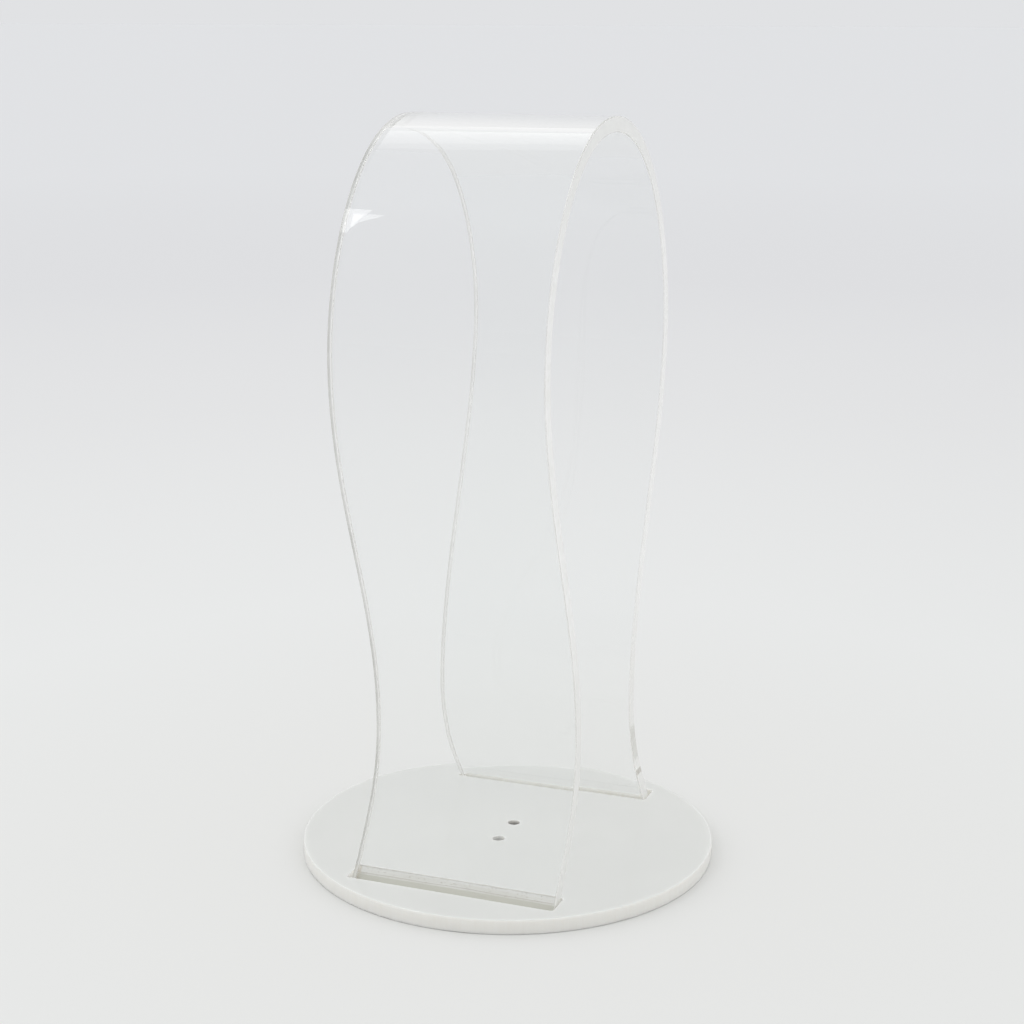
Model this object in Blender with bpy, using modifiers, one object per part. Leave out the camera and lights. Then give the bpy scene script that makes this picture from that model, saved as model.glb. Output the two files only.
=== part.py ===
"""A headphone stand: a strip of clear acrylic, bent into a tall omega-shaped arch, on a disc of opal acrylic.

The arch's two feet flare outwards into slots that are cut right through the disc, and a bead of solvent
cement fills the wedge between each foot and the inner wall of its slot. Two small round holes go through
the disc between the feet.

Units are metres. +Z is up, and the origin is the middle of the disc's underside. The arch spans along Y,
and the width of its strip runs along X. The front and the rear half are mirror images.
"""

import math

import bmesh
import bpy
from mathutils import Matrix, Vector
from mathutils.geometry import interpolate_bezier

# Strip
STRIP_WIDTH = 0.070
STRIP_THICKNESS = 0.005
EDGE_BREAK = 0.0003

# Arch. Heights are stacked along the strip's middle layer: floor to waist, waist to bulge, bulge to crown.
WAIST_HEIGHT = 0.0505
BULGE_RISE = 0.1255
CROWN_RISE = 0.0695
WAIST_GAP = 0.052  # clear distance between the legs at the waist
BULGE_SPAN = 0.126  # over the outside of the strip
FOOT_SPAN = 0.102  # where the middle layer would meet the floor
FOOT_ANGLE = math.radians(55)  # from the floor

# How far each bend reaches, as a share of the rise or the half span that it runs along
CROWN_FULLNESS = 0.645
SHOULDER_FULLNESS = 0.446
FLANK_FULLNESS = 0.35
CALF_FULLNESS = 0.4
ANKLE_FULLNESS = 0.42

# Disc
DISC_THICKNESS = 0.005
RIM_WEB = 0.00513  # material left between a slot's corner and the rim
SLOT_END_PLAY = 0.0008  # from each cut face of the strip to the end of its slot
SLOT_OUTER_PLAY = 0.0024  # from the foot's outermost corner to the slot's outer wall
HOLE_DIAMETER = 0.0042
HOLE_PITCH = 0.015

# Assembly
FIT_GAP = 0.0003  # between faces that touch on the real stand
FOOT_LIFT = 0.0005  # from the floor to the lowest corner of a foot, and to the underside of a bead
BEAD_SETBACK = 0.001  # from each cut face of the strip to the end of its bead

CUT_OVERRUN = 0.002
CURVE_STEPS = 16
DISC_SIDES = 144
HOLE_SIDES = 32

HALF_THICKNESS = STRIP_THICKNESS / 2
CROWN_HEIGHT = WAIST_HEIGHT + BULGE_RISE + CROWN_RISE
TURNED_TO_YZ = (math.pi / 2, 0.0, math.pi / 2)  # local X becomes Y, local Y becomes Z, local Z becomes X


def clear_scene():
    for obj in list(bpy.data.objects):
        bpy.data.objects.remove(obj)


def new_collection(name):
    collection = bpy.data.collections.new(name)
    bpy.context.scene.collection.children.link(collection)
    return collection


def new_material(name, colour, roughness, transmission=0.0):
    material = bpy.data.materials.new(name)
    material.use_nodes = True
    shader = material.node_tree.nodes["Principled BSDF"]
    shader.inputs["Base Color"].default_value = (*colour, 1.0)
    shader.inputs["Roughness"].default_value = roughness
    shader.inputs["Metallic"].default_value = 0.0
    shader.inputs["IOR"].default_value = 1.49
    shader.inputs["Transmission Weight"].default_value = transmission
    return material


def half_arch():
    """The rear half's knots in the YZ plane, from crown to foot, as (point, handle before, handle after)."""
    bulge_y = BULGE_SPAN / 2 - HALF_THICKNESS
    waist_y = WAIST_GAP / 2 + HALF_THICKNESS
    bulge_z = WAIST_HEIGHT + BULGE_RISE
    down_the_foot = Vector((math.cos(FOOT_ANGLE), -math.sin(FOOT_ANGLE)))
    end_z = FOOT_LIFT + HALF_THICKNESS * math.cos(FOOT_ANGLE)
    end = Vector((FOOT_SPAN / 2 - end_z / math.tan(FOOT_ANGLE), end_z))
    crown = Vector((0.0, CROWN_HEIGHT))
    bulge = Vector((bulge_y, bulge_z))
    waist = Vector((waist_y, WAIST_HEIGHT))
    across = Vector((CROWN_FULLNESS * bulge_y, 0.0))
    return [
        (crown, crown - across, crown + across),
        (
            bulge,
            bulge + Vector((0.0, SHOULDER_FULLNESS * CROWN_RISE)),
            bulge - Vector((0.0, FLANK_FULLNESS * BULGE_RISE)),
        ),
        (
            waist,
            waist + Vector((0.0, FLANK_FULLNESS * BULGE_RISE)),
            waist - Vector((0.0, CALF_FULLNESS * WAIST_HEIGHT)),
        ),
        (end, end - ANKLE_FULLNESS * WAIST_HEIGHT * down_the_foot, end + EDGE_BREAK * down_the_foot),
    ]


def whole_arch():
    """The knots of the whole arch, from the front foot (at -Y) over the crown to the rear foot."""

    def mirrored(point):
        return Vector((-point.x, point.y))

    rear = half_arch()
    front = []
    for knot, before, after in reversed(rear[1:]):
        front.append((mirrored(knot), mirrored(after), mirrored(before)))
    return front + rear


def inner_face(distance=0.0):
    """Points (y, z) of the rear leg's inner face below the waist, moved away from the leg by distance."""
    (waist, _, leaving), (end, arriving, _) = half_arch()[-2:]
    middle = interpolate_bezier(waist, leaving, arriving, end, 4 * CURVE_STEPS)
    points = []
    for here, after in zip(middle, middle[1:]):
        along = (after - here).normalized()
        inwards = Vector((along.y, -along.x))
        points.append(here + inwards * (HALF_THICKNESS + distance))
    inwards = Vector((-math.sin(FOOT_ANGLE), -math.cos(FOOT_ANGLE)))
    points.append(end + inwards * (HALF_THICKNESS + distance))
    return points


def y_at_height(points, height):
    """Where a line of points that runs downwards crosses a height."""
    for above, below in zip(points, points[1:]):
        if above.y >= height >= below.y:
            share = (above.y - height) / (above.y - below.y)
            return above.x + share * (below.x - above.x)
    return points[-1].x


def slot_walls():
    """(inner, outer) distance of the rear slot's long walls from the middle of the disc."""
    end = half_arch()[-1][0]
    inner = y_at_height(inner_face(FIT_GAP), DISC_THICKNESS)
    outer = end.x + HALF_THICKNESS * math.sin(FOOT_ANGLE) + SLOT_OUTER_PLAY
    return inner, outer


def slot_length():
    return STRIP_WIDTH + 2 * SLOT_END_PLAY


def disc_radius():
    return math.hypot(slot_walls()[1], slot_length() / 2) + RIM_WEB


def mesh_object(name, mesh, collection, material=None):
    obj = bpy.data.objects.new(name, mesh)
    collection.objects.link(obj)
    if material:
        mesh.materials.append(material)
    return obj


def curve_mesh(name, curve):
    """The mesh that a 2D curve makes, with its caps joined to its sides."""
    guide = bpy.data.objects.new(name, curve)
    bpy.context.scene.collection.objects.link(guide)
    graph = bpy.context.evaluated_depsgraph_get()
    mesh = bpy.data.meshes.new_from_object(guide.evaluated_get(graph))
    mesh.name = name
    bpy.data.objects.remove(guide)
    shape = bmesh.new()
    shape.from_mesh(mesh)
    bmesh.ops.remove_doubles(shape, verts=shape.verts, dist=1e-6)
    bmesh.ops.recalc_face_normals(shape, faces=shape.faces)
    shape.to_mesh(mesh)
    shape.free()
    return mesh


def new_curve(name, width):
    """An empty 2D curve that is extruded to a width."""
    curve = bpy.data.curves.new(name, "CURVE")
    curve.dimensions = "2D"
    curve.extrude = width / 2
    return curve


def add_bevel(obj, segments):
    bevel = obj.modifiers.new("edge_break", "BEVEL")
    bevel.width = EDGE_BREAK
    bevel.segments = segments
    bevel.limit_method = "ANGLE"
    bevel.angle_limit = math.radians(40)


def shade_round(obj):
    """Makes the obj's modifiers part of its mesh, smooths its curved faces and keeps its edges sharp."""
    graph = bpy.context.evaluated_depsgraph_get()
    mesh = bpy.data.meshes.new_from_object(obj.evaluated_get(graph))
    obj.modifiers.clear()
    obj.data = mesh
    mesh.name = obj.name
    mesh.shade_smooth()
    mesh.set_sharp_from_angle(angle=math.radians(30))


def build_arch_strip(collection, material):
    """The bent strip: the arch's middle layer as a ribbon, thickened to both sides."""
    curve = new_curve("arch_line", STRIP_WIDTH)
    curve.fill_mode = "NONE"
    curve.resolution_u = CURVE_STEPS
    knots = whole_arch()
    spline = curve.splines.new("BEZIER")
    spline.bezier_points.add(len(knots) - 1)
    for place, (knot, before, after) in zip(spline.bezier_points, knots):
        place.handle_left_type = place.handle_right_type = "FREE"
        place.co = (*knot, 0.0)
        place.handle_left = (*before, 0.0)
        place.handle_right = (*after, 0.0)
    strip = mesh_object("arch_strip", curve_mesh("arch_strip", curve), collection, material)
    thickness = strip.modifiers.new("sheet", "SOLIDIFY")
    thickness.thickness = STRIP_THICKNESS
    thickness.offset = 0.0
    thickness.use_even_offset = True
    add_bevel(strip, segments=1)
    strip.rotation_euler = TURNED_TO_YZ
    shade_round(strip)
    return strip


def add_cutter(name, mesh, place, target, collection):
    """Cuts mesh, put at place, out of the target."""
    cutter = mesh_object(name, mesh, collection)
    cutter.location = place
    cutter.hide_render = True
    cutter.display_type = "WIRE"
    cut = target.modifiers.new(name, "BOOLEAN")
    cut.operation = "DIFFERENCE"
    cut.solver = "EXACT"
    cut.object = cutter


def box_mesh(name, length, width, height):
    shape = bmesh.new()
    bmesh.ops.create_cube(shape, size=1.0, matrix=Matrix.Diagonal((length, width, height, 1.0)))
    mesh = bpy.data.meshes.new(name)
    shape.to_mesh(mesh)
    shape.free()
    return mesh


def round_mesh(name, radius, height, sides):
    shape = bmesh.new()
    bmesh.ops.create_cone(
        shape, cap_ends=True, segments=sides, radius1=radius, radius2=radius, depth=height
    )
    mesh = bpy.data.meshes.new(name)
    shape.to_mesh(mesh)
    shape.free()
    return mesh


def build_base_disc(collection, cutters, material):
    """The disc, with a through slot for each foot and two through holes between them."""
    middle = DISC_THICKNESS / 2
    disc = mesh_object(
        "base_disc", round_mesh("base_disc", disc_radius(), DISC_THICKNESS, DISC_SIDES), collection, material
    )
    disc.location.z = middle
    add_bevel(disc, segments=2)
    cut_height = DISC_THICKNESS + 2 * CUT_OVERRUN
    inner, outer = slot_walls()
    for side, sign in (("front", -1), ("rear", 1)):
        slot = box_mesh(f"slot_{side}", slot_length(), outer - inner, cut_height)
        slot_place = (0.0, sign * (inner + outer) / 2, middle)
        add_cutter(f"slot_{side}", slot, slot_place, disc, cutters)
        hole = round_mesh(f"hole_{side}", HOLE_DIAMETER / 2, cut_height, HOLE_SIDES)
        hole_place = (0.0, sign * HOLE_PITCH / 2, middle)
        add_cutter(f"hole_{side}", hole, hole_place, disc, cutters)
    return disc


def bead_outline():
    """The rear bead's outline in the YZ plane: up the slot's inner wall and down the foot's inner face."""
    wall = slot_walls()[0] + FIT_GAP
    face = inner_face(FIT_GAP)
    down_the_foot = [point for point in face if point.x > wall and point.y > FOOT_LIFT]
    above = face[face.index(down_the_foot[0]) - 1]
    below = down_the_foot[0]
    share = (wall - above.x) / (below.x - above.x)
    tip = Vector((wall, above.y + share * (below.y - above.y)))
    toe = Vector((y_at_height(face, FOOT_LIFT), FOOT_LIFT))
    return [Vector((wall, FOOT_LIFT)), tip, *down_the_foot[1::8], toe]


def build_cement_bead(name, sign, collection, material):
    """One bead: sign is 1 at the rear foot and -1 at the front one, where it is turned half round."""
    curve = new_curve(name, STRIP_WIDTH - 2 * BEAD_SETBACK)
    curve.fill_mode = "BOTH"
    outline = bead_outline()
    spline = curve.splines.new("POLY")
    spline.points.add(len(outline) - 1)
    for place, corner in zip(spline.points, outline):
        place.co = (*corner, 0.0, 1.0)
    spline.use_cyclic_u = True
    bead = mesh_object(name, curve_mesh(name, curve), collection, material)
    bead.rotation_euler = TURNED_TO_YZ
    if sign < 0:
        bead.rotation_euler.z += math.pi
    return bead


def build_stand():
    clear_scene()
    stand = new_collection("headphone_stand")
    cutters = new_collection("cutters")
    clear_acrylic = new_material("clear_acrylic", (0.97, 0.99, 0.98), 0.03, transmission=1.0)
    opal_acrylic = new_material("opal_acrylic", (0.84, 0.84, 0.82), 0.25)
    dried_cement = new_material("dried_cement", (0.90, 0.90, 0.84), 0.3, transmission=0.7)
    pieces = [
        build_arch_strip(stand, clear_acrylic),
        build_base_disc(stand, cutters, opal_acrylic),
        build_cement_bead("cement_bead_front", -1, stand, dried_cement),
        build_cement_bead("cement_bead_rear", 1, stand, dried_cement),
    ]
    origin = bpy.data.objects.new("stand_origin", None)
    stand.objects.link(origin)
    for piece in pieces:
        piece.parent = origin


build_stand()
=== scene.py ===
"""The looks of a headphone stand: a bent arch of clear acrylic in the slots of an opal acrylic disc.

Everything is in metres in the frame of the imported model: +Z up, the origin in the middle of the disc's
underside, the arch spanning along Y and its width running along X.
"""

import logging
import math
from dataclasses import dataclass, field
from enum import Enum
from typing import Any

import bmesh
import bpy
from mathutils import Matrix, Vector, noise


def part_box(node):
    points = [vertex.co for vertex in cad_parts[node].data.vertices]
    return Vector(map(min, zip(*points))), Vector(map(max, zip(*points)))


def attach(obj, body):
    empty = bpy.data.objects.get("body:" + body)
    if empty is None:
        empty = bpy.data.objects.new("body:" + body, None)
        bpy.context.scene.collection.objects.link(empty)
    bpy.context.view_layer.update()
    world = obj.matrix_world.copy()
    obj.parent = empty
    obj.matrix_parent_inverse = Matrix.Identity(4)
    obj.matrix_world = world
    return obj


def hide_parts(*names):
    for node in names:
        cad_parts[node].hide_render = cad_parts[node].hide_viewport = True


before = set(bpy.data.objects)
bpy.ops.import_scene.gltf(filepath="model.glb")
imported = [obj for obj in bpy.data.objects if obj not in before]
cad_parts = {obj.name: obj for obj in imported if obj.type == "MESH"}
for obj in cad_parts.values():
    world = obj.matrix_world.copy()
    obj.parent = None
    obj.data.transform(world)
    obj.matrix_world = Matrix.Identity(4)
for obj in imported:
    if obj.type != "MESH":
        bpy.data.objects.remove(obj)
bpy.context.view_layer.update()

Colour = tuple[float, float, float]
Span = tuple[float, float]  # where something starts and where it ends
Scale = tuple[float, float, float]  # how much finer a pattern is along each axis

ACRYLIC_IOR = 1.49
SHEET_THICKNESS = 0.005  # of the strip and of the disc
WAIST_HEIGHT = 0.0505  # where the arch is narrowest above its feet
LIGHT_REACH = 0.002  # how far light spreads inside the opal sheet
SIDE_BLEND = 0.001  # how softly a look changes between the left and right or the front and rear half
FLAT_PLACE = "flat_place"  # the attribute that holds each point's place in the strip before it was bent
log = logging.getLogger("headphone_stand")


class Slot(Enum):
    """The material slots that the record names."""

    CLEAR = "clear_acrylic"
    OPAL = "opal_acrylic"
    CEMENT = "dried_cement"


class Side(Enum):
    """The two feet of the arch, by the sign of their Y."""

    FRONT = -1
    REAR = 1


# --------------------------------------------------------------------------------------------------
# Node trees


@dataclass(frozen=True)
class Grain:
    """A cloudy pattern: its clouds per metre, how many finer layers they have, and how strong those are."""

    per_metre: float
    detail: float = 2.0
    roughness: float = 0.5
    stretch: Scale = (1.0, 1.0, 1.0)


class Term:
    """One output of a node that takes Python's arithmetic, each operation adding a Math node."""

    def __init__(self, graph: "Graph", socket: bpy.types.NodeSocket) -> None:
        """Wraps a socket.

        Args:
            graph: the tree that the socket is in.
            socket: a node's output.
        """
        self.graph = graph
        self.socket = socket

    def maths(self, operation: str, *others: "Term | float", first: bool = True) -> "Term":
        """Adds a Math node.

        Args:
            operation: the Math node's operation.
            others: its other inputs.
            first: whether this term is the first input, or the last.

        Returns:
            The result.
        """
        inputs = (self, *others) if first else (*others, self)
        node = self.graph.node("ShaderNodeMath", {"operation": operation}, dict(enumerate(inputs)))
        return Term(self.graph, node.outputs[0])

    def __add__(self, other: "Term | float") -> "Term":
        """self + other."""
        return self.maths("ADD", other)

    def __sub__(self, other: "Term | float") -> "Term":
        """self - other."""
        return self.maths("SUBTRACT", other)

    def __rsub__(self, other: float) -> "Term":
        """other - self."""
        return self.maths("SUBTRACT", other, first=False)

    def __mul__(self, other: "Term | float") -> "Term":
        """self * other."""
        return self.maths("MULTIPLY", other)

    __radd__ = __add__
    __rmul__ = __mul__

    def __truediv__(self, other: "Term | float") -> "Term":
        """self / other."""
        return self.maths("DIVIDE", other)

    def __abs__(self) -> "Term":
        """The size of self without its sign."""
        return self.maths("ABSOLUTE")

    def least(self, other: "Term | float") -> "Term":
        """The smaller of self and other."""
        return self.maths("MINIMUM", other)

    def most(self, other: "Term | float") -> "Term":
        """The larger of self and other."""
        return self.maths("MAXIMUM", other)


class Graph:
    """A node tree that is filled from Python, for a shader, a world or Geometry Nodes."""

    def __init__(self, tree: bpy.types.NodeTree) -> None:
        """Wraps a tree.

        Args:
            tree: the tree to fill. Its starting nodes are removed.
        """
        self.tree = tree
        self.tree.nodes.clear()

    def node(
        self,
        kind: str,
        settings: dict[str, Any] | None = None,
        inputs: dict[str | int, Any] | None = None,
    ) -> bpy.types.Node:
        """Adds a node.

        Args:
            kind: the node's type, such as ShaderNodeTexNoise.
            settings: its properties, which are set before its sockets. A ColorRamp's stops are given as
                "stops", a list of (position, colour).
            inputs: a number, a tuple, a Term or a socket for each input that is set, by the input's
                identifier, name or number.

        Returns:
            The node.
        """
        node = self.tree.nodes.new(kind)
        for name, value in (settings or {}).items():
            if name == "stops":
                self._set_stops(node.color_ramp, value)
            else:
                setattr(node, name, value)
        for key, value in (inputs or {}).items():
            socket = self._input(node, key)
            if isinstance(value, Term):
                value = value.socket
            if isinstance(value, bpy.types.NodeSocket):
                self.tree.links.new(value, socket)
            elif isinstance(value, tuple) and len(value) == 3 and socket.type == "RGBA":
                socket.default_value = (*value, 1.0)
            else:
                socket.default_value = value
        return node

    @staticmethod
    def _set_stops(ramp: bpy.types.ColorRamp, stops: list[tuple[float, Colour]]) -> None:
        """Gives a colour ramp its stops.

        Args:
            ramp: the ramp, with its two starting stops.
            stops: (position, colour) from left to right.
        """
        while len(ramp.elements) < len(stops):
            ramp.elements.new(1.0)
        for element, (position, colour) in zip(ramp.elements, stops):
            element.position = position
            element.color = (*colour, 1.0)

    @staticmethod
    def _input(node: bpy.types.Node, key: str | int) -> bpy.types.NodeSocket:
        """Finds an input.

        Args:
            node: the node.
            key: the input's number, identifier or name.

        Returns:
            The input socket.
        """
        if isinstance(key, int):
            return node.inputs[key]
        for socket in node.inputs:
            if socket.identifier == key:
                return socket
        return node.inputs[key]

    def term(
        self,
        kind: str,
        settings: dict[str, Any],
        inputs: dict[str | int, Any],
        output: str = "",
    ) -> Term:
        """Adds a node and takes one of its outputs.

        Args:
            kind: the node's type.
            settings: its properties.
            inputs: its inputs, as in node().
            output: the output's identifier or name, or the first one.

        Returns:
            That output.
        """
        node = self.node(kind, settings, inputs)
        for socket in node.outputs:
            if output in ("", socket.identifier):
                return Term(self, socket)
        return Term(self, node.outputs[output])

    def object_place(self) -> Term:
        """The point on the piece, in metres in the model's frame."""
        return self.term("ShaderNodeTexCoord", {}, {}, "Object")

    def flat_place(self) -> Term:
        """The point's place in the strip before it was bent: along, across and through it, in metres."""
        return self.term("ShaderNodeAttribute", {"attribute_name": FLAT_PLACE}, {}, "Vector")

    def noise(self, place: Term, grain: Grain) -> Term:
        """A cloudy pattern from 0 to 1 around 0.5.

        Args:
            place: the coordinates, in metres.
            grain: the pattern.

        Returns:
            The pattern's value.
        """
        if grain.stretch != (1.0, 1.0, 1.0):
            place = self.term("ShaderNodeMapping", {}, {"Vector": place, "Scale": grain.stretch})
        inputs = {
            "Vector": place,
            "Scale": grain.per_metre,
            "Detail": grain.detail,
            "Roughness": grain.roughness,
        }
        return self.term("ShaderNodeTexNoise", {}, inputs, "Fac")

    def ramp(self, value: Term, low: float, high: float, start: float = 0.0, end: float = 1.0) -> Term:
        """A smooth step of a value.

        Args:
            value: what is stepped.
            low: where the step starts.
            high: where it ends.
            start: the result below low.
            end: the result above high.

        Returns:
            A number from start to end.
        """
        inputs = {"Value": value, "From Min": low, "From Max": high, "To Min": start, "To Max": end}
        return self.term("ShaderNodeMapRange", {"interpolation_type": "SMOOTHSTEP"}, inputs, "Result")

    def band(self, value: Term, low: float, high: float, soft: float) -> Term:
        """A band of a value.

        Args:
            value: what is banded.
            low: where the band starts.
            high: where it ends.
            soft: how far each limit spreads to both sides.

        Returns:
            1 from low to high, and 0 outside.
        """
        above_low = self.ramp(value, low - soft, low + soft)
        below_high = self.ramp(value, high - soft, high + soft, 1.0, 0.0)
        return above_low * below_high

    def mixed(self, factor: Term, first: Any, second: Any) -> Term:
        """Blends two colours.

        Args:
            factor: 0 for the first and 1 for the second.
            first: a colour or a Term.
            second: a colour or a Term.

        Returns:
            The blended colour.
        """
        inputs = {"Factor_Float": factor, "A_Color": first, "B_Color": second}
        return self.term("ShaderNodeMix", {"data_type": "RGBA"}, inputs, "Result_Color")

    def axes(self, place: Term) -> tuple[Term, Term, Term]:
        """Splits a vector into its x, y and z."""
        node = self.node("ShaderNodeSeparateXYZ", {}, {"Vector": place})
        return Term(self, node.outputs[0]), Term(self, node.outputs[1]), Term(self, node.outputs[2])

    def on_left(self, across: Term) -> Term:
        """1 on the left half of the stand and 0 on its right, from the place across it."""
        return self.ramp(across, -SIDE_BLEND, SIDE_BLEND, 1.0, 0.0)

    def bump(self, height: Term, strength: float, distance: float) -> Term:
        """A normal that follows a height.

        Args:
            height: the height from 0 to 1.
            strength: how much of it shows.
            distance: the real height of 1, in metres.

        Returns:
            The normal.
        """
        inputs = {"Height": height, "Strength": strength, "Distance": distance}
        return self.term("ShaderNodeBump", {}, inputs, "Normal")


def new_shader(name: str) -> tuple[bpy.types.Material, Graph]:
    """Makes an empty material.

    Args:
        name: the material's name.

    Returns:
        The material and its node tree.
    """
    material = bpy.data.materials.new(name)
    material.use_nodes = True
    return material, Graph(material.node_tree)


def finish_shader(graph: Graph, sockets: dict[str, Any]) -> None:
    """Ends a material's tree in a Principled BSDF.

    Args:
        graph: the tree.
        sockets: the Principled BSDF's inputs.
    """
    surface = graph.term("ShaderNodeBsdfPrincipled", {}, sockets, "BSDF")
    graph.node("ShaderNodeOutputMaterial", {}, {"Surface": surface})


# --------------------------------------------------------------------------------------------------
# Finishes


@dataclass(frozen=True)
class ClearFace:
    """The polished faces of clear cast acrylic: little but gloss, with a faint heat-bending ripple."""

    tint: Colour = (0.985, 0.99, 0.988)
    wear: Grain = Grain(60.0, 6.0, 0.7, (1.0, 3.0, 1.0))
    worn: Span = (0.55, 0.8)
    least_roughness: float = 0.0
    most_roughness: float = 0.035
    ripple: Grain = Grain(14.0, 1.0)
    ripple_strength: float = 0.5
    ripple_height: float = 0.0004

    def material(self) -> bpy.types.Material:
        """Builds the material.

        Returns:
            The material.
        """
        material, graph = new_shader("clear_acrylic_face")
        flat = graph.flat_place()
        wear = graph.noise(flat, self.wear)
        ripple = graph.noise(flat, self.ripple)
        sockets = {
            "Base Color": self.tint,
            "Roughness": graph.ramp(wear, *self.worn, self.least_roughness, self.most_roughness),
            "IOR": ACRYLIC_IOR,
            "Transmission Weight": 1.0,
            "Normal": graph.bump(ripple, self.ripple_strength, self.ripple_height),
        }
        finish_shader(graph, sockets)
        return material


@dataclass(frozen=True)
class CutEdge:
    """A laser-cut edge of clear acrylic: milky and finely striped through the sheet.

    It is crazed at the tightest bends, and its left side is greyed as painted shade and painted reflection
    of dark things seen through the sheet.
    The rear leg's right side has a dull patch and a spot low down.
    """

    body: Colour = (0.945, 0.945, 0.92)
    cloud: Colour = (0.995, 0.995, 0.985)
    clouds: Grain = Grain(260.0, 4.0, 0.6)
    cloudy: Span = (0.35, 0.65)
    stripes: Grain = Grain(700.0, stretch=(1.0, 0.02, 0.08))
    stripe_share: float = 0.2  # how much the stripes move the clouds

    crazed: Colour = (0.86, 0.86, 0.835)
    crazing: float = 0.8  # how much of the tightest bends is crazed
    crown_bend: Span = (0.195, 0.235)  # the heights over which the bend over the top gets tight
    crown_clouds: Span = (0.35, 0.6)
    crown_least: float = 0.5  # the share of the crown's crazing between the clouds

    painted_left_shade: Colour = (0.51, 0.51, 0.48)
    left_shade_heights: Span = (0.004, 0.007)  # where the painted shade starts above the foot
    left_shade_depths: Span = (-0.0016, 0.0002)  # through the sheet, from its rear face to its front one
    least_left_shade: float = 0.1  # the share of the painted shade at the sheet's rear face
    front_to_rear: Span = (-0.03, 0.05)  # where the front half turns into the rear half
    rear_left_shade: float = 0.5  # the rear half's share of the painted shade, above the waist
    rear_foot_left_shade: float = 0.1  # and at the foot
    left_shade_patches: Grain = Grain(45.0, 3.0, 0.6, (1.0, 0.1, 0.1))
    left_shade_patchy: Span = (0.35, 0.65)
    between_patches: float = 0.6  # the share of the painted shade there

    dull: Colour = (0.70, 0.70, 0.66)
    dull_heights: Span = (0.024, 0.038)
    dull_blend: float = 0.001
    dull_stripes: Span = (0.3, 0.6)
    dull_least: float = 0.7

    spot: Colour = (0.50, 0.48, 0.42)
    spot_heights: Span = (0.0167, 0.0191)
    spot_blend: float = 0.0002
    spot_clouds: Span = (0.3, 0.7)
    spot_least: float = 0.5

    clearness: float = 0.1
    rough_clouds: Span = (0.3, 0.7)
    least_roughness: float = 0.09
    most_roughness: float = 0.15

    def material(self) -> bpy.types.Material:
        """Builds the material.

        Returns:
            The material.
        """
        material, graph = new_shader("clear_acrylic_cut_edge")
        flat = graph.flat_place()
        across, depth, height = graph.axes(graph.object_place())
        clouds = graph.noise(flat, self.clouds)
        stripes = graph.noise(flat, self.stripes)
        on_left = graph.on_left(across)
        rear_right = graph.ramp(depth, 0.0, SIDE_BLEND) * (1.0 - on_left)

        streaked = clouds + self.stripe_share * (stripes - 0.5)
        colour = graph.mixed(graph.ramp(streaked, *self.cloudy), self.body, self.cloud)
        colour = graph.mixed(self._crazing(graph, height, clouds), colour, self.crazed)
        patch = graph.band(height, *self.dull_heights, self.dull_blend) * rear_right
        patch *= graph.ramp(stripes, *self.dull_stripes, self.dull_least, 1.0)
        colour = graph.mixed(patch, colour, self.dull)
        spot = graph.band(height, *self.spot_heights, self.spot_blend) * rear_right
        spot *= graph.ramp(clouds, *self.spot_clouds, self.spot_least, 1.0)
        colour = graph.mixed(spot, colour, self.spot)
        # painted shade and painted reflection: the left cut edges are greyed to stand in for the shade and
        # dark surroundings seen through the sheet
        left_shade = on_left * self._left_shade(graph, flat, depth, height)
        sockets = {
            "Base Color": graph.mixed(left_shade, colour, self.painted_left_shade),
            "Roughness": graph.ramp(clouds, *self.rough_clouds, self.least_roughness, self.most_roughness),
            "IOR": ACRYLIC_IOR,
            "Transmission Weight": self.clearness,
        }
        finish_shader(graph, sockets)
        return material

    def _crazing(self, graph: Graph, height: Term, clouds: Term) -> Term:
        """Works out how crazed the edge is: evenly below the waist, and in clouds over the crown.

        Args:
            graph: the material's tree.
            height: the height above the table.
            clouds: the edge's clouds.

        Returns:
            A share from 0 to 1.
        """
        feet = graph.ramp(height, WAIST_HEIGHT, 2 * WAIST_HEIGHT, self.crazing, 0.0)
        crown = graph.ramp(height, *self.crown_bend, 0.0, self.crazing)
        return feet + crown * graph.ramp(clouds, *self.crown_clouds, self.crown_least, 1.0)

    def _left_shade(self, graph: Graph, flat: Term, depth: Term, height: Term) -> Term:
        """Works out how much painted shade the left side gets: in patches, near the sheet's front face,
        less at the rear.

        Args:
            graph: the material's tree.
            flat: the place in the flat sheet.
            depth: the place from front to rear.
            height: the height above the table.

        Returns:
            A share from 0 to 1.
        """
        to_rear = graph.ramp(depth, *self.front_to_rear)
        towards_front = graph.axes(flat)[2] * (2.0 * to_rear - 1.0)
        left_shade = graph.ramp(towards_front, *self.left_shade_depths, self.least_left_shade, 1.0)
        left_shade *= graph.ramp(height, *self.left_shade_heights)
        waist = (0.5 * WAIST_HEIGHT, 2 * WAIST_HEIGHT)
        rear_share = graph.ramp(height, *waist, self.rear_foot_left_shade, self.rear_left_shade)
        left_shade *= 1.0 - (1.0 - rear_share) * to_rear
        patches = graph.noise(flat, self.left_shade_patches)
        return left_shade * graph.ramp(patches, *self.left_shade_patchy, self.between_patches, 1.0)


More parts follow.
